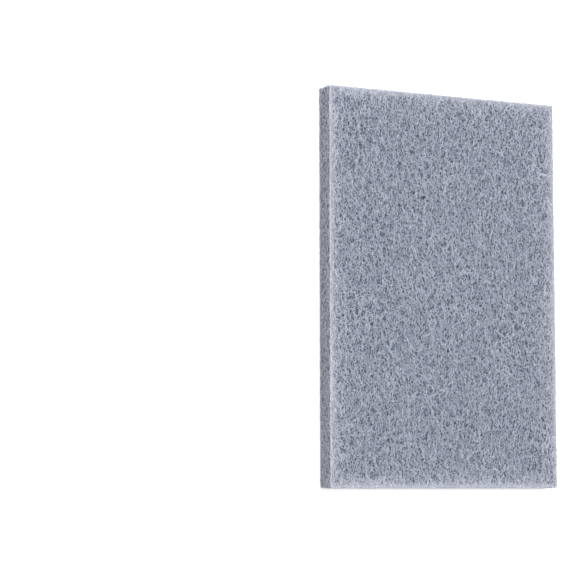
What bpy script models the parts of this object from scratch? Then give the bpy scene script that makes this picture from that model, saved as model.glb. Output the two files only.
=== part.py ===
"""A scouring pad: one die-cut block of springy nonwoven nylon web.

The block lies flat, as it would on a bench. Its underside rests on z = 0 and is centred on
the origin, its width runs along X, its length along Y and its thickness up Z. The web is one
piece. Where its fibres are sparse both faces sink a little, and between those hollows the
fibres end in one plane, which is what the pad rests on. Its four cut sides are straight.
"""

import math

import bmesh
import bpy
from mathutils import Vector, noise

# Driving dimensions, in metres.
LENGTH = 0.150
WIDTH = 0.100
THICKNESS = 0.0085
# The die presses the web as it cuts, which leaves every edge a little round.
EDGE_RADIUS = 0.0006
# The thin places of the web: how far apart they are, and how deep they sink.
HOLLOW_SPACING = 0.0070
HOLLOW_DEPTH = 0.0007
# The band along every cut edge where the hollows run out, so that the edge stays straight.
EDGE_BAND = 0.0045
# The largest step between two points of a face, which has to follow the hollows.
SURFACE_STEP = 0.0030

# How the hollows are spread. A noise value under the first limit leaves the web full height,
# and one over the second sinks it to its full depth. The start of the noise is one that
# leaves the middle of both faces level, where the pad is held.
FULL_HEIGHT_BELOW = 0.12
FULL_DEPTH_ABOVE = 0.45
NOISE_START = Vector((9.5, 0.5, 0.0))
EDGE_SEGMENTS = 2
# The pad's nylon, from the photograph: a blue grey, quite matt.
WEB_COLOUR = (0.287, 0.314, 0.376, 1.0)
WEB_ROUGHNESS = 0.9


def clear_scene():
    """Removes every object that the start-up file holds."""
    for item in list(bpy.data.objects):
        bpy.data.objects.remove(item, do_unlink=True)


def web_material():
    """Matt dyed nylon fibre, held together with a little clear resin."""
    material = bpy.data.materials.new("nonwoven_nylon")
    material.use_nodes = True
    shader = material.node_tree.nodes["Principled BSDF"]
    shader.inputs["Base Color"].default_value = WEB_COLOUR
    shader.inputs["Roughness"].default_value = WEB_ROUGHNESS
    shader.inputs["Metallic"].default_value = 0.0
    return material


def die_cut_block():
    """The block as the die leaves it, its underside on z = 0, with softly rounded edges."""
    mesh = bmesh.new()
    bmesh.ops.create_cube(mesh, size=1.0)
    bmesh.ops.scale(mesh, vec=(WIDTH, LENGTH, THICKNESS), verts=mesh.verts)
    bmesh.ops.translate(mesh, vec=(0.0, 0.0, THICKNESS / 2), verts=mesh.verts)
    bmesh.ops.bevel(
        mesh,
        geom=mesh.edges[:],
        offset=EDGE_RADIUS,
        segments=EDGE_SEGMENTS,
        profile=0.5,
        affect="EDGES",
    )
    return mesh


def divide(mesh, axis, size):
    """Cuts the block across one axis, into even steps between its rounded edges."""
    flat = size - 2 * EDGE_RADIUS
    steps = math.ceil(flat / SURFACE_STEP)
    normal = Vector((0.0, 0.0, 0.0))
    normal[axis] = 1.0
    for step in range(1, steps):
        bmesh.ops.bisect_plane(
            mesh,
            geom=mesh.verts[:] + mesh.edges[:] + mesh.faces[:],
            plane_co=normal * (flat * step / steps - flat / 2),
            plane_no=normal,
        )


def eased(share):
    """A share held between 0 and 1, with a soft start and end."""
    share = min(1.0, max(0.0, share))
    return share * share * (3.0 - 2.0 * share)


def hollow_at(place):
    """How far the web sinks at a point of one of its faces."""
    value = noise.noise(place / HOLLOW_SPACING + NOISE_START)
    depth = eased((value - FULL_HEIGHT_BELOW) / (FULL_DEPTH_ABOVE - FULL_HEIGHT_BELOW))
    inwards = min(WIDTH / 2 - abs(place.x), LENGTH / 2 - abs(place.y)) - EDGE_RADIUS
    return HOLLOW_DEPTH * depth * eased(inwards / EDGE_BAND)


def sink_hollows(mesh):
    """Moves both faces inwards where the web is thin."""
    for vert in mesh.verts:
        towards_middle = 1.0 if vert.co.z < THICKNESS / 2 else -1.0
        vert.co.z += towards_middle * hollow_at(vert.co)


def make_pad():
    """The whole pad, as one closed body."""
    mesh = die_cut_block()
    divide(mesh, 0, WIDTH)
    divide(mesh, 1, LENGTH)
    sink_hollows(mesh)
    bmesh.ops.triangulate(mesh, faces=mesh.faces[:])
    bmesh.ops.recalc_face_normals(mesh, faces=mesh.faces[:])
    data = bpy.data.meshes.new("pad")
    mesh.to_mesh(data)
    mesh.free()
    data.shade_smooth()
    data.materials.append(web_material())
    return bpy.data.objects.new("pad", data)


def main():
    clear_scene()
    parts = bpy.data.collections.new("scouring_pad")
    bpy.context.scene.collection.children.link(parts)
    parts.objects.link(make_pad())


main()
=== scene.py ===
"""The looks of a scouring pad: a flat block of curly nylon strands, on a plain pale floor."""

import functools
import math

import bpy
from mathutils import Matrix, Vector


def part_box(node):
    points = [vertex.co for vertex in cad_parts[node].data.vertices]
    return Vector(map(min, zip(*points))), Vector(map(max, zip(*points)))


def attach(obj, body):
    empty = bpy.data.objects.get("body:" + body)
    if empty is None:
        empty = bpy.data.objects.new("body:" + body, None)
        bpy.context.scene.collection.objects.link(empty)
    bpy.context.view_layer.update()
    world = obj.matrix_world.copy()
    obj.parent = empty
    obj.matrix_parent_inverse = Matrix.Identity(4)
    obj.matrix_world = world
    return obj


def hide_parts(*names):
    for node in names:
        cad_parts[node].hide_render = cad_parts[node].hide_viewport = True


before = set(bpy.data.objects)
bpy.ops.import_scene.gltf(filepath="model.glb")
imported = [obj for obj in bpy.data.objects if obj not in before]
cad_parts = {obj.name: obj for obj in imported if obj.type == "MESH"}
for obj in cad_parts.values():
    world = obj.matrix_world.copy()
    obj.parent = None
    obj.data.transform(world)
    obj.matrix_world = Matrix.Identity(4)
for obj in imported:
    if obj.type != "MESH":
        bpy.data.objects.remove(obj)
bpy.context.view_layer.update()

# The body of the web. A scouring pad is cut out of a thick open web of crimped nylon fibres,
# laid at random by an air stream and bonded where they cross with a sprayed resin. This is the
# deeper part of the web, which shows dark between the strands of its faces: its dark colour is
# painted shade.

MM = 0.001
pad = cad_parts["pad"]
PAD_LOW, PAD_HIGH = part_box("pad")
# Points of the solid that lie closer than this are one point.
SAME_POINT = 0.01 * MM
# How deep under the faces the body starts, and how much deeper its pits reach.
BODY_INSET = 0.55 * MM
PIT_DEPTH = 0.4 * MM
PIT_SPACING = 2.0 * MM
BODY_GRID = 1.1 * MM
# The faces are painted paler towards their cut edges: a painted highlight along the rims. The
# band fades along the face, and ends a little way down the cut side.
EDGE_FADE = 3.0 * MM
RIM_DEPTH = 0.6 * MM
# The share of that painted highlight that is left below the rim, on the strands of a cut side and
# on the body behind them: painted light that makes the shaded cut sides paler. The first share
# also sets how far the web is pressed on a cut side.
SIDE_HIGHLIGHT_AND_PRESS = 0.38
DEEP_SIDE_HIGHLIGHT = 0.13
# How much of the web's depth is pressed shut at the rims.
EDGE_PRESS = 0.9
# The rims' painted highlight, the painted shade deep in the web, and the strands that lie
# across it.
EDGE_HIGHLIGHT = "#F0F2FD"
DEEP_SHADE = "#1D2539"
LAID_FIBRE = "#B0B9D0"
# The strands that the body's material draws: how wide a mesh they make, where each of its
# layers starts, how wide a strand is as a part of its noise, how far a strand stands up and how
# strongly that shows, and the noise's middle value.
DRAWN_MESH = 0.75 * MM
DRAWN_STARTS = (0.0, 7.0, 19.0)
DRAWN_WIDTH = 0.07
DRAWN_RISE = 0.2 * MM
DRAWN_BUMP = 0.8
NOISE_MIDDLE = 0.5
# Nylon's own refraction, and the matt of a fibre whose resin coat is thin and uneven.
NYLON_IOR = 1.53
FIBRE_ROUGHNESS = 0.55


def linear(hex_colour):
    """An sRGB hex colour as linear red, green, blue and alpha."""
    shares = [int(hex_colour[start : start + 2], 16) / 255 for start in (1, 3, 5)]
    bent = [s / 12.92 if s <= 0.04045 else ((s + 0.055) / 1.055) ** 2.4 for s in shares]
    return bent + [1.0]


def add(tree, kind, feeds=(), **settings):
    """Adds a node with its settings. feeds is what its live sockets get, by name or in order:
    a constant, another node's first live output, or a socket."""
    new = tree.nodes.new(kind)
    for name, value in settings.items():
        setattr(new, name, value)
    live = [socket for socket in new.inputs if socket.enabled]
    if not isinstance(feeds, dict):
        feeds = dict(enumerate(feeds))
    for key, value in feeds.items():
        named = (s for s in live if key in (s.identifier, s.name))
        socket = live[key] if isinstance(key, int) else next(named)
        if isinstance(value, bpy.types.Node):
            value = next(s for s in value.outputs if s.enabled)
        if isinstance(value, bpy.types.NodeSocket):
            tree.links.new(value, socket)
        else:
            socket.default_value = value
    return new


def new_material(name):
    """An empty material and what adds a node to it."""
    material = bpy.data.materials.new(name)
    material.use_nodes = True
    material.node_tree.nodes.clear()
    return material, functools.partial(add, material.node_tree)


def new_growth(name, inputs):
    """A geometry tree with named inputs, those inputs, and what adds a node to it."""
    tree = bpy.data.node_groups.new(name, "GeometryNodeTree")
    for label, kind in inputs.items():
        tree.interface.new_socket(label, in_out="INPUT", socket_type="NodeSocket" + kind)
    tree.interface.new_socket("Geometry", in_out="OUTPUT", socket_type="NodeSocketGeometry")
    return tree, add(tree, "NodeGroupInput").outputs, functools.partial(add, tree)


def grow(name, tree, sizes):
    """Runs a geometry tree once, and keeps what it makes as a plain mesh."""
    piece = bpy.data.objects.new(name, bpy.data.meshes.new(name))
    bpy.context.scene.collection.objects.link(piece)
    growth = piece.modifiers.new("growth", "NODES")
    growth.node_group = tree
    for socket in tree.interface.items_tree:
        if socket.in_out == "INPUT":
            growth[socket.identifier] = sizes[socket.name]
    depsgraph = bpy.context.evaluated_depsgraph_get()
    grown = bpy.data.meshes.new_from_object(
        piece.evaluated_get(depsgraph), preserve_all_data_layers=True, depsgraph=depsgraph
    )
    piece.modifiers.clear()
    piece.data = grown
    return piece


def whole_solid(node, given):
    """The solid that a growth lies on, with its loose triangles joined."""
    solid = node("GeometryNodeObjectInfo", (given["Solid"],)).outputs["Geometry"]
    return node("GeometryNodeMergeByDistance", {"Geometry": solid, "Distance": SAME_POINT})


def edge_share(node, given, side_share):
    """How far the web is pressed, and how much painted highlight it gets, at a place: 1 at the
    rims, falling to 0 inwards, and to side_share down a cut side."""
    place = node("GeometryNodeInputPosition")
    above = node("ShaderNodeVectorMath", (place, given["Low"]), operation="SUBTRACT")
    below = node("ShaderNodeVectorMath", (given["High"], place), operation="SUBTRACT")
    inside = node("ShaderNodeVectorMath", (above, below), operation="MINIMUM")
    inside = node("ShaderNodeSeparateXYZ", (inside,)).outputs
    nearest = node("ShaderNodeMath", (inside["X"], inside["Y"]), operation="MINIMUM")
    nearest = node("ShaderNodeMath", (nearest, 0.0), operation="MAXIMUM")
    faded = node("ShaderNodeMath", (nearest, -EDGE_FADE), operation="DIVIDE")
    faded = node("ShaderNodeMath", (faded,), operation="EXPONENT")
    ends = {"From Max": RIM_DEPTH, "To Min": 1.0, "To Max": side_share}
    rim = node("ShaderNodeMapRange", {"Value": inside["Z"], **ends})
    return node("ShaderNodeMath", (faded, rim), operation="MULTIPLY")


def pressed(node, given, depth):
    """A depth in the web as the die leaves it: nearly nothing at the rims."""
    left = (edge_share(node, given, SIDE_HIGHLIGHT_AND_PRESS), -EDGE_PRESS, 1.0)
    left = node("ShaderNodeMath", left, operation="MULTIPLY_ADD")
    return node("ShaderNodeMath", (depth, left), operation="MULTIPLY")


def body_material():
    """Nylon web seen deep down: matt and painted dark as shade, with paler strands lying across it
    and a painted highlight towards the rims.
    """
    material, node = new_material("bonded nylon web")
    place = node("ShaderNodeTexCoord").outputs["Object"]
    strands = 0.0
    # The line where a noise passes its middle value winds about as a laid strand does.
    for start in DRAWN_STARTS:
        moved = node("ShaderNodeMapping", {"Vector": place, "Location": (start, start, start)})
        noise = {"Vector": moved, "Scale": 1 / DRAWN_MESH, "Detail": 0.0}
        noise = node("ShaderNodeTexNoise", noise)
        away = node("ShaderNodeMath", (noise, NOISE_MIDDLE), operation="SUBTRACT")
        away = node("ShaderNodeMath", (away,), operation="ABSOLUTE")
        ends = {"Value": away, "From Max": DRAWN_WIDTH, "To Min": 1.0, "To Max": 0.0}
        strand = node("ShaderNodeMapRange", ends, interpolation_type="SMOOTHSTEP")
        strands = node("ShaderNodeMath", (strands, strand), operation="MAXIMUM")
    shades = (strands, linear(DEEP_SHADE), linear(LAID_FIBRE))
    colour = node("ShaderNodeMix", shades, data_type="RGBA")
    # Towards the rims the colour goes over to a painted highlight.
    edge = node("ShaderNodeAttribute", attribute_name="cut_edge").outputs["Fac"]
    colour = node("ShaderNodeMix", (edge, colour, linear(EDGE_HIGHLIGHT)), data_type="RGBA")
    bump = {"Height": strands, "Strength": DRAWN_BUMP, "Distance": DRAWN_RISE}
    skin = {"Base Color": colour, "Normal": node("ShaderNodeBump", bump)}
    skin.update({"Roughness": FIBRE_ROUGHNESS, "IOR": NYLON_IOR})
    node("ShaderNodeOutputMaterial", (node("ShaderNodeBsdfPrincipled", skin),))
    return material


def body_growth():
    """A block whose faces lie a little under those of a solid, with pits in them."""
    kinds = {"Solid": "Object", "Material": "Material", "Low": "Vector", "High": "Vector"}
    kinds.update({"Grid": "Float", "Inset": "Float", "Pit Depth": "Float", "Pit Spacing": "Float"})
    tree, given, node = new_growth("web_body", kinds)

    # A fine grid over all six sides of the pad's box.
    size = node("ShaderNodeVectorMath", (given["High"], given["Low"]), operation="SUBTRACT")
    middle = node("ShaderNodeVectorMath", (given["High"], given["Low"]), operation="ADD")
    middle = node("ShaderNodeVectorMath", {"Vector": middle, "Scale": 0.5}, operation="SCALE")
    finer = node("ShaderNodeMath", (1.0, given["Grid"]), operation="DIVIDE")
    cells = node("ShaderNodeVectorMath", {"Vector": size, "Scale": finer}, operation="SCALE")
    cells = node("ShaderNodeSeparateXYZ", (cells,)).outputs
    block = node("GeometryNodeMeshCube", (size, cells["X"], cells["Y"], cells["Z"]))
    block = node("GeometryNodeTransform", {"Geometry": block, "Translation": middle})

    # Each point goes to the solid's nearest face, and under it.
    solid = whole_solid(node, given)
    normal = node("GeometryNodeInputNormal")
    face = node("GeometryNodeSampleNearestSurface", (solid, normal), data_type="FLOAT_VECTOR")
    nearest = node("GeometryNodeProximity", (solid,), target_element="FACES").outputs["Position"]
    finer = node("ShaderNodeMath", (1.0, given["Pit Spacing"]), operation="DIVIDE")
    pits = node("ShaderNodeTexNoise", {"Scale": finer})
    depths = (pits, given["Pit Depth"], given["Inset"])
    depth = node("ShaderNodeMath", depths, operation="MULTIPLY_ADD")
    inwards = {"Vector": face, "Scale": pressed(node, given, depth)}
    inwards = node("ShaderNodeVectorMath", inwards, operation="SCALE")
    place = node("ShaderNodeVectorMath", (nearest, inwards), operation="SUBTRACT")
    block = node("GeometryNodeSetPosition", {"Geometry": block, "Position": place})

    # How much painted highlight each place gets, for the material to read.
    share = edge_share(node, given, DEEP_SIDE_HIGHLIGHT)
    edge = {"Geometry": block, "Name": "cut_edge", "Value": share}
    block = node("GeometryNodeStoreNamedAttribute", edge)
    block = node("GeometryNodeRealizeInstances", (block,))
    block = node("GeometryNodeSetMaterial", {"Geometry": block, "Material": given["Material"]})
    node("NodeGroupOutput", (block,))
    return tree


body_sizes = {
    "Solid": pad,
    "Material": body_material(),
    "Low": PAD_LOW,
    "High": PAD_HIGH,
    "Grid": BODY_GRID,
    "Inset": BODY_INSET,
    "Pit Depth": PIT_DEPTH,
    "Pit Spacing": PIT_SPACING,
}
web_body = grow("web_body", body_growth(), body_sizes)
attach(web_body, "root")
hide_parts("pad")

# The strands of the web's faces and cut sides. Each is a crimped nylon fibre that curls about
# in the plane of the web and weaves over and under its neighbours, until the die cuts it off.

# Real fibres are near 0.1 mm thick, too fine to show here, so fewer and thicker ones are drawn.
STRAND_RADIUS = 0.125 * MM
THINNEST_GIRTH = 0.7
THICKEST_GIRTH = 1.3
RING_SIDES = 3
STRAND_POINTS = 11
STRAND_STEP = 0.8 * MM
# A run with fewer points than this, between two cuts, falls out of the web.
POINTS_NEEDED = 3.0
# The length of one wave of the crimp, and in radians how far it turns a strand to each side and
# how far the curl turns it on each step.
CRIMP_LENGTH = 3.0 * MM
CRIMP_TURN = 1.2
CURL_TURN = 0.25
# How many times a strand weaves up and down for each wave of its crimp, and between which
# depths. On the cut sides it stands a little proud of the face.
WEAVE_PITCH = 0.7
WEAVE_TOP = 0.05 * MM
SIDE_WEAVE_TOP = -0.1 * MM
WEAVE_BOTTOM = 0.55 * MM
SIDE_WEAVE_BOTTOM = 0.85 * MM
# The web is drawn out lengthwise as it is made, and on the cut sides its strands lie flat too.
# So each step of a strand shrinks to one share across the pad, and to another upwards.
ACROSS = 0.7
UPRIGHT = 0.8
# How far apart the strands start, on the upper face, the underside and the cut sides, and how
# many starts are tried in a square of one spacing before those too close are dropped.
FACE_SPACING = 1.64 * MM
UNDER_SPACING = 2.0 * MM
SIDE_SPACING = 1.1 * MM
STARTS_TRIED = 4.0
# A part of the solid counts as facing a way if the rise of its normal is this near to it.
UPWARDS, SIDEWAYS, DOWNWARDS = 1.0, 0.0, -1.0
FACING_LIMIT = 0.5
# A direction that is square to none of the pad's faces, from which headings are counted.
HEADING_START = (0.36, 0.48, 0.8)
# How many chances a strand takes, and how far apart their seeds are.
CHANCES = 5
SEED_STEP = 100.0
# The sprayed resin darkens the fibre in spots. Real spots are finer still, and these are as
# coarse as they need to be to show. Below the first value of their noise a spot is full, and
# above the second there is none.
RESIN_SPACING = 0.3 * MM
RESIN_SHADE = 0.58
RESIN_FULL = 0.4
RESIN_NONE = 0.58
# The dyed fibre, from the duller strands to the pale ones that catch the light. The bend makes
# the pale ones fewer.
DULL_STRAND = "#D0D8EA"
PALE_STRAND = "#EBF1FF"
TONE_BEND = 1.4


def strand_material():
    """Dyed nylon fibre with a thin resin coat: matt, and each strand a little unlike the next."""
    material, node = new_material("crimped nylon fibre")
    tone = node("ShaderNodeAttribute", attribute_name="tone").outputs["Fac"]
    edge = node("ShaderNodeAttribute", attribute_name="cut_edge").outputs["Fac"]
    shades = (tone, linear(DULL_STRAND), linear(PALE_STRAND))
    colour = node("ShaderNodeMix", shades, data_type="RGBA")
    place = node("ShaderNodeTexCoord").outputs["Object"]
    resin = {"Vector": place, "Scale": 1 / RESIN_SPACING, "Detail": 1.0}
    resin = {"Value": node("ShaderNodeTexNoise", resin), "From Min": RESIN_FULL}
    resin.update({"From Max": RESIN_NONE, "To Min": RESIN_SHADE, "To Max": 1.0})
    resin = node("ShaderNodeMapRange", resin)
    colour = node("ShaderNodeVectorMath", {"Vector": colour, "Scale": resin}, operation="SCALE")
    # Towards the rims the colour goes over to a painted highlight.
    colour = node("ShaderNodeMix", (edge, colour, linear(EDGE_HIGHLIGHT)), data_type="RGBA")
    skin = {"Base Color": colour, "Roughness": FIBRE_ROUGHNESS, "IOR": NYLON_IOR}
    node("ShaderNodeOutputMaterial", (node("ShaderNodeBsdfPrincipled", skin),))
    return material


def strand_growth():
    """Strands laid over one side of a solid, each a thin closed tube."""
    kinds = {"Solid": "Object", "Material": "Material", "Low": "Vector", "High": "Vector"}
    kinds.update({"Facing": "Float", "Spacing": "Float", "Points": "Int", "Step": "Float"})
    kinds.update({"Radius": "Float", "Seed": "Int", "Crimp Length": "Float"})
    kinds.update({"Crimp Turn": "Float", "Curl Turn": "Float"})
    kinds.update({"Weave Top": "Float", "Weave Bottom": "Float"})
    tree, given, node = new_growth("laid_strands", kinds)

    # Where the strands start: spaced evenly on the part of the solid that faces the given way.
    solid = whole_solid(node, given)
    normal = node("GeometryNodeInputNormal")
    rise = node("ShaderNodeSeparateXYZ", (normal,)).outputs["Z"]
    chosen = node("ShaderNodeMath", (rise, given["Facing"], FACING_LIMIT), operation="COMPARE")
    tries = node("ShaderNodeMath", (given["Spacing"], -2.0), operation="POWER")
    tries = node("ShaderNodeMath", (tries, STARTS_TRIED), operation="MULTIPLY")
    starts = {"Mesh": solid, "Selection": chosen, "Distance Min": given["Spacing"]}
    starts.update({"Density Max": tries, "Seed": given["Seed"]})
    starts = node("GeometryNodeDistributePointsOnFaces", starts, distribute_method="POISSON")
    starts = starts.outputs
    count = node("GeometryNodeAttributeDomainSize", (starts["Points"],), component="POINTCLOUD")
    points = node("ShaderNodeMath", (count, given["Points"]), operation="MULTIPLY")
    cloud = node("GeometryNodePoints", (points,))

    # Which strand each point is on, and how many steps along it.
    index = node("GeometryNodeInputIndex")
    strand = node("ShaderNodeMath", (index, given["Points"]), operation="DIVIDE")
    strand = node("ShaderNodeMath", (strand,), operation="FLOOR")
    step = node("ShaderNodeMath", (index, given["Points"]), operation="FLOORED_MODULO")
    position = node("GeometryNodeInputPosition")
    start, upright = (
        node(
            "GeometryNodeSampleIndex",
            {"Geometry": starts["Points"], "Value": value, "Index": strand},
            data_type="FLOAT_VECTOR",
        )
        for value in (position, starts["Normal"])
    )
    chances = []
    for turn in range(CHANCES):
        seed = node("ShaderNodeMath", (given["Seed"], SEED_STEP * turn), operation="ADD")
        chance = {"Min": 0.0, "Max": 1.0, "ID": strand, "Seed": seed}
        chances.append(node("FunctionNodeRandomValue", chance, data_type="FLOAT"))

    # The heading swings to and fro with the crimp, and drifts round with the curl.
    along = node("ShaderNodeMath", (step, given["Step"]), operation="MULTIPLY")
    along = node("ShaderNodeMath", (along, given["Crimp Length"]), operation="DIVIDE")
    along = node("ShaderNodeMath", (along, chances[0]), operation="ADD")
    phase = node("ShaderNodeMath", (along, math.tau), operation="MULTIPLY")
    swing = node("ShaderNodeMath", (phase,), operation="SINE")
    heading = node("ShaderNodeMath", (chances[1], math.tau), operation="MULTIPLY")
    swing = (swing, given["Crimp Turn"], heading)
    heading = node("ShaderNodeMath", swing, operation="MULTIPLY_ADD")
    curl = node("ShaderNodeMath", (chances[2], 2.0, -1.0), operation="MULTIPLY_ADD")
    curl = node("ShaderNodeMath", (curl, given["Curl Turn"]), operation="MULTIPLY")
    heading = node("ShaderNodeMath", (curl, step, heading), operation="MULTIPLY_ADD")
    across = node("ShaderNodeVectorMath", (upright, HEADING_START), operation="CROSS_PRODUCT")
    across = node("ShaderNodeVectorMath", (across,), operation="NORMALIZE")
    turned = {"Vector": across, "Axis": upright, "Angle": heading}
    way = node("ShaderNodeVectorRotate", turned, rotation_type="AXIS_ANGLE")
    way = node("ShaderNodeVectorMath", (way, (ACROSS, 1.0, UPRIGHT)), operation="MULTIPLY")
    way = node("ShaderNodeVectorMath", {"Vector": way, "Scale": given["Step"]}, operation="SCALE")
    run = node("GeometryNodeAccumulateField", (way, strand), data_type="FLOAT_VECTOR").outputs
    back = {"Vector": run["Total"], "Scale": -0.5}
    back = node("ShaderNodeVectorMath", back, operation="SCALE")
    place = node("ShaderNodeVectorMath", (start, run["Trailing"]), operation="ADD")
    place = node("ShaderNodeVectorMath", (place, back), operation="ADD")
    cloud = node("GeometryNodeSetPosition", {"Geometry": cloud, "Position": place})

    # The die cuts a strand off where it runs over the edge. What comes back is another strand.
    nearest = node("GeometryNodeProximity", (solid,), target_element="FACES").outputs
    cut_off = (nearest["Distance"], given["Step"])
    cut_off = node("ShaderNodeMath", cut_off, operation="GREATER_THAN")
    cuts = node("GeometryNodeAccumulateField", (cut_off, strand), data_type="INT")
    whole = (strand, given["Points"], cuts.outputs["Leading"])
    whole = node("ShaderNodeMath", whole, operation="MULTIPLY_ADD")
    tone = node("ShaderNodeMath", (chances[3], TONE_BEND), operation="POWER")
    girth = {"Value": chances[4], "To Min": THINNEST_GIRTH, "To Max": THICKEST_GIRTH}
    girth = node("ShaderNodeMapRange", girth)
    facts = {"tone": tone, "girth": girth, "whole": whole, "cut_off": cut_off}
    for name, value in facts.items():
        fact = {"Geometry": cloud, "Name": name, "Value": value}
        cloud = node("GeometryNodeStoreNamedAttribute", fact)
    kept = {name: node("GeometryNodeInputNamedAttribute", {"Name": name}) for name in facts}

    # Each point goes to the solid's nearest face and weaves up and down under it, and none
    # goes through the surface that the pad lies on.
    face = node("GeometryNodeSampleNearestSurface", (solid, normal), data_type="FLOAT_VECTOR")
    weave = node("ShaderNodeMath", (phase, WEAVE_PITCH), operation="MULTIPLY")
    weave = node("ShaderNodeMath", (weave,), operation="SINE")
    ends = {"From Min": -1.0, "To Min": given["Weave Top"], "To Max": given["Weave Bottom"]}
    depth = node("ShaderNodeMapRange", {"Value": weave, **ends})
    inwards = {"Vector": face, "Scale": pressed(node, given, depth)}
    inwards = node("ShaderNodeVectorMath", inwards, operation="SCALE")
    laid = node("ShaderNodeVectorMath", (nearest["Position"], inwards), operation="SUBTRACT")
    laid = node("ShaderNodeSeparateXYZ", (laid,)).outputs
    lowest = node("ShaderNodeSeparateXYZ", (given["Low"],)).outputs["Z"]
    lowest = (given["Radius"], kept["girth"], lowest)
    lowest = node("ShaderNodeMath", lowest, operation="MULTIPLY_ADD")
    height = node("ShaderNodeMath", (laid["Z"], lowest), operation="MAXIMUM")
    laid = node("ShaderNodeCombineXYZ", (laid["X"], laid["Y"], height))
    cloud = node("GeometryNodeSetPosition", {"Geometry": cloud, "Position": laid})
    beyond = {"Geometry": cloud, "Selection": kept["cut_off"]}
    cloud = node("GeometryNodeDeleteGeometry", beyond, domain="POINT")

    # The points become curves, and the curves tubes with closed ends.
    runs = {"Points": cloud, "Curve Group ID": kept["whole"]}
    curves = node("GeometryNodePointsToCurves", runs)
    count = node("GeometryNodeSplineLength").outputs["Point Count"]
    stub = node("ShaderNodeMath", (count, POINTS_NEEDED), operation="LESS_THAN")
    stubs = {"Geometry": curves, "Selection": stub}
    curves = node("GeometryNodeDeleteGeometry", stubs, domain="CURVE")
    edge = {"Geometry": curves, "Name": "cut_edge", "Value": edge_share(node, given, SIDE_HIGHLIGHT_AND_PRESS)}
    curves = node("GeometryNodeStoreNamedAttribute", edge)
    edge = node("GeometryNodeInputNamedAttribute", {"Name": "cut_edge"})
    ring = {"Resolution": RING_SIDES, "Radius": given["Radius"]}
    ring = node("GeometryNodeCurvePrimitiveCircle", ring)
    tubes = {"Curve": curves, "Profile Curve": ring, "Scale": kept["girth"], "Fill Caps": True}
    tubes = node("GeometryNodeCurveToMesh", tubes)
    # A strand's colour hangs on its tone and on the painted rim highlight, so these make its map.
    spot = node("ShaderNodeCombineXYZ", (kept["tone"], edge))
    spot = {"Geometry": tubes, "Name": "OFBake", "Value": spot}
    tubes = node("GeometryNodeStoreNamedAttribute", spot, data_type="FLOAT2", domain="CORNER")
    tubes = node("GeometryNodeRealizeInstances", (tubes,))
    tubes = node("GeometryNodeSetMaterial", {"Geometry": tubes, "Material": given["Material"]})
    node("NodeGroupOutput", (tubes,))
    return tree


strands = strand_growth()
strand_sizes = {
    "Solid": pad,
    "Material": strand_material(),
    "Low": PAD_LOW,
    "High": PAD_HIGH,
    "Points": STRAND_POINTS,
    "Step": STRAND_STEP,
    "Radius": STRAND_RADIUS,
    "Crimp Length": CRIMP_LENGTH,
    "Crimp Turn": CRIMP_TURN,
    "Curl Turn": CURL_TURN,
}
# The way that each piece's part of the pad faces, its spacing, its two depths and its seed. The
# upper face has three pieces, which lie through one another, so that none has too many faces.
for name, facing, spacing, top, bottom, seed in (
    ("upper_strands", UPWARDS, FACE_SPACING, WEAVE_TOP, WEAVE_BOTTOM, 11),
    ("middle_strands", UPWARDS, FACE_SPACING, WEAVE_TOP, WEAVE_BOTTOM, 23),
    ("lower_strands", UPWARDS, FACE_SPACING, WEAVE_TOP, WEAVE_BOTTOM, 31),
    ("under_strands", DOWNWARDS, UNDER_SPACING, WEAVE_TOP, WEAVE_BOTTOM, 37),
    ("side_strands", SIDEWAYS, SIDE_SPACING, SIDE_WEAVE_TOP, SIDE_WEAVE_BOTTOM, 41),
):
    spread = {"Facing": facing, "Spacing": spacing, "Seed": seed}
    spread.update({"Weave Top": top, "Weave Bottom": bottom})
    piece = grow(name, strands, strand_sizes | spread)
    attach(piece, "root")

# The cut ends of fibres. The die leaves short fine ends that stand out of the cut sides and
# their rims, and soften the outline of the pad.

ENDS_PER_SQUARE_METRE = 1400e3
END_RADIUS = 0.05 * MM
END_LENGTH = 0.7 * MM
# The shortest end, as a share of the longest, and how far an end may lean, in radians.
SHORTEST_END = 0.4
END_TILT = 0.9
# The rims' rounding counts as a cut side too, up to where it faces nearly upwards.
END_FACING_LIMIT = 0.95
END_SEED = 53


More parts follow.
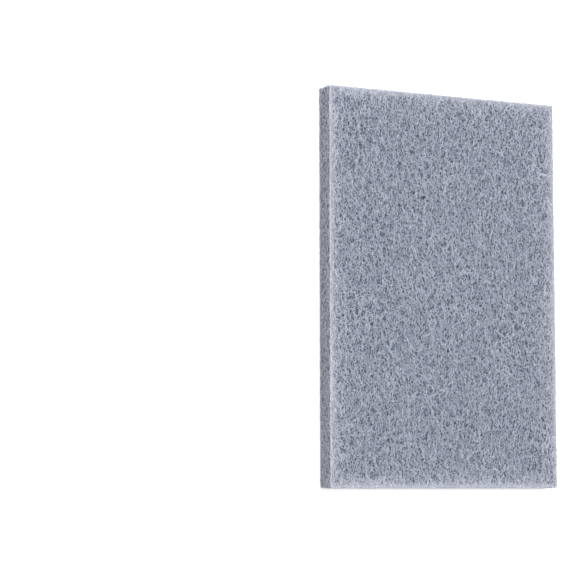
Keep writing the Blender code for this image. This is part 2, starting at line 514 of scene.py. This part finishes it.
def end_growth():
    """Short fine spikes on the cut sides of a solid."""
    kinds = {"Solid": "Object", "Material": "Material", "Low": "Vector", "High": "Vector"}
    kinds.update({"Density": "Float", "Radius": "Float", "Length": "Float", "Tilt": "Float"})
    kinds["Seed"] = "Int"
    tree, given, node = new_growth("cut_ends", kinds)
    solid = whole_solid(node, given)
    rise = node("ShaderNodeSeparateXYZ", (node("GeometryNodeInputNormal"),)).outputs["Z"]
    side = node("ShaderNodeMath", (rise, SIDEWAYS, END_FACING_LIMIT), operation="COMPARE")
    density = node("ShaderNodeMath", (side, given["Density"]), operation="MULTIPLY")
    starts = {"Mesh": solid, "Density": density, "Seed": given["Seed"]}
    starts = node("GeometryNodeDistributePointsOnFaces", starts).outputs

    spike = {"Vertices": RING_SIDES, "Radius Top": 0.0, "Radius Bottom": given["Radius"]}
    spike["Depth"] = given["Length"]
    spike = node("GeometryNodeMeshCone", spike).outputs["Mesh"]
    tilt = {"Vector": (1.0, 1.0, 0.0), "Scale": given["Tilt"]}
    tilt = node("ShaderNodeVectorMath", tilt, operation="SCALE")
    back = node("ShaderNodeVectorMath", {"Vector": tilt, "Scale": -1.0}, operation="SCALE")
    chance = {"Min": back, "Max": tilt, "Seed": given["Seed"]}
    chance = node("FunctionNodeRandomValue", chance, data_type="FLOAT_VECTOR")
    turned = {"Rotation": starts["Rotation"], "Rotate By": chance}
    turned = node("FunctionNodeRotateRotation", turned, rotation_space="LOCAL")
    size = {"Min": SHORTEST_END, "Max": 1.0, "Seed": given["Seed"]}
    size = node("FunctionNodeRandomValue", size, data_type="FLOAT")

    # An end that could reach through the surface that the pad lies on is left out.
    place = node("GeometryNodeInputPosition")
    height = node("ShaderNodeVectorMath", (place, given["Low"]), operation="SUBTRACT")
    height = node("ShaderNodeSeparateXYZ", (height,)).outputs["Z"]
    reach = node("ShaderNodeMath", (size, given["Length"]), operation="MULTIPLY")
    clear = node("ShaderNodeMath", (height, reach), operation="GREATER_THAN")
    laid = {"Points": starts["Points"], "Selection": clear, "Instance": spike}
    laid.update({"Rotation": turned, "Scale": size})
    spikes = node("GeometryNodeInstanceOnPoints", laid)
    spikes = node("GeometryNodeRealizeInstances", (spikes,))
    # How much painted highlight each end gets, for the material to read.
    edge = {"Geometry": spikes, "Name": "cut_edge", "Value": edge_share(node, given, SIDE_HIGHLIGHT_AND_PRESS)}
    spikes = node("GeometryNodeStoreNamedAttribute", edge)
    spikes = node("GeometryNodeSetMaterial", {"Geometry": spikes, "Material": given["Material"]})
    node("NodeGroupOutput", (spikes,))
    return tree


end_sizes = {
    "Solid": pad,
    "Material": strand_sizes["Material"],
    "Low": PAD_LOW,
    "High": PAD_HIGH,
    "Density": ENDS_PER_SQUARE_METRE,
    "Radius": END_RADIUS,
    "Length": END_LENGTH,
    "Tilt": END_TILT,
    "Seed": END_SEED,
}
cut_ends = grow("cut_ends", end_growth(), end_sizes)
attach(cut_ends, "root")

# The studio: a plain pale floor, soft light from all round and a broad soft lamp overhead. The
# floor and the world look white, and the floor keeps the pad's shadow.

# Matt white paint, which shows the pad's soft shadow and no gloss.
FLOOR_SIDE = 6.0
FLOOR_PAINT = "#E7E7E7"
FLOOR_ROUGHNESS = 0.9
# What the floor adds to its light for the camera alone, and the light of the sky on the pad.
FLOOR_GLOW = 0.55
SKY_LIGHT = 0.545
LAMP_SIDE = 0.9
LAMP_PLACE = Vector((0.0, 0.35, 1.3))
LAMP_WATTS = 12.8
WHITE = "#FFFFFF"


def seen_share(node):
    """1 for what the camera sees, straight or in a gloss or through glass, and 0 for light."""
    rays = node("ShaderNodeLightPath").outputs
    share = rays["Is Camera Ray"]
    for label in ("Is Glossy Ray", "Is Transmission Ray"):
        share = node("ShaderNodeMath", (share, rays[label]), operation="MAXIMUM")
    return share


floor_mesh = bpy.data.meshes.new("floor")
reach = FLOOR_SIDE / 2
corners = [(-reach, -reach, 0.0), (reach, -reach, 0.0), (reach, reach, 0.0), (-reach, reach, 0.0)]
floor_mesh.from_pydata(corners, [], [(0, 1, 2, 3)])
floor = bpy.data.objects.new("floor", floor_mesh)
bpy.context.scene.collection.objects.link(floor)
floor_paint, node = new_material("white floor")
glow = node("ShaderNodeMath", (seen_share(node), FLOOR_GLOW), operation="MULTIPLY")
paint = {"Base Color": linear(FLOOR_PAINT), "Roughness": FLOOR_ROUGHNESS}
paint.update({"Emission Color": linear(WHITE), "Emission Strength": glow})
node("ShaderNodeOutputMaterial", (node("ShaderNodeBsdfPrincipled", paint),))
floor_mesh.materials.append(floor_paint)

world = bpy.data.worlds.new("studio")
bpy.context.scene.world = world
world.use_nodes = True
world.node_tree.nodes.clear()
node = functools.partial(add, world.node_tree)
strength = {"Value": seen_share(node), "To Min": SKY_LIGHT, "To Max": 1.0}
sky = {"Color": linear(WHITE), "Strength": node("ShaderNodeMapRange", strength)}
node("ShaderNodeOutputWorld", (node("ShaderNodeBackground", sky),))

lamp_data = bpy.data.lights.new("overhead softbox", "AREA")
lamp_data.shape = "SQUARE"
lamp_data.size = LAMP_SIDE
lamp_data.energy = LAMP_WATTS
lamp = bpy.data.objects.new("overhead softbox", lamp_data)
lamp.location = LAMP_PLACE
lamp.rotation_euler = (-LAMP_PLACE).to_track_quat("-Z", "Y").to_euler()
bpy.context.scene.collection.objects.link(lamp)

# The camera looks down on the pad as the photograph's looks at it, from the same side, height
# and distance. The place and the turns come from a fit to the pad's corners and edges there.

CAMERA_PLACE = Vector((-0.4330, -0.0762, 0.7187))
CAMERA_TURNS = [math.radians(angle) for angle in (5.374, -27.191, -0.07)]
CAMERA_LENS = 137.67

camera_data = bpy.data.cameras.new("camera")
camera_data.lens = CAMERA_LENS
camera = bpy.data.objects.new("camera", camera_data)
camera.location = CAMERA_PLACE
camera.rotation_euler = CAMERA_TURNS
bpy.context.scene.collection.objects.link(camera)
bpy.context.scene.camera = camera
bpy.context.scene.view_settings.view_transform = "Standard"
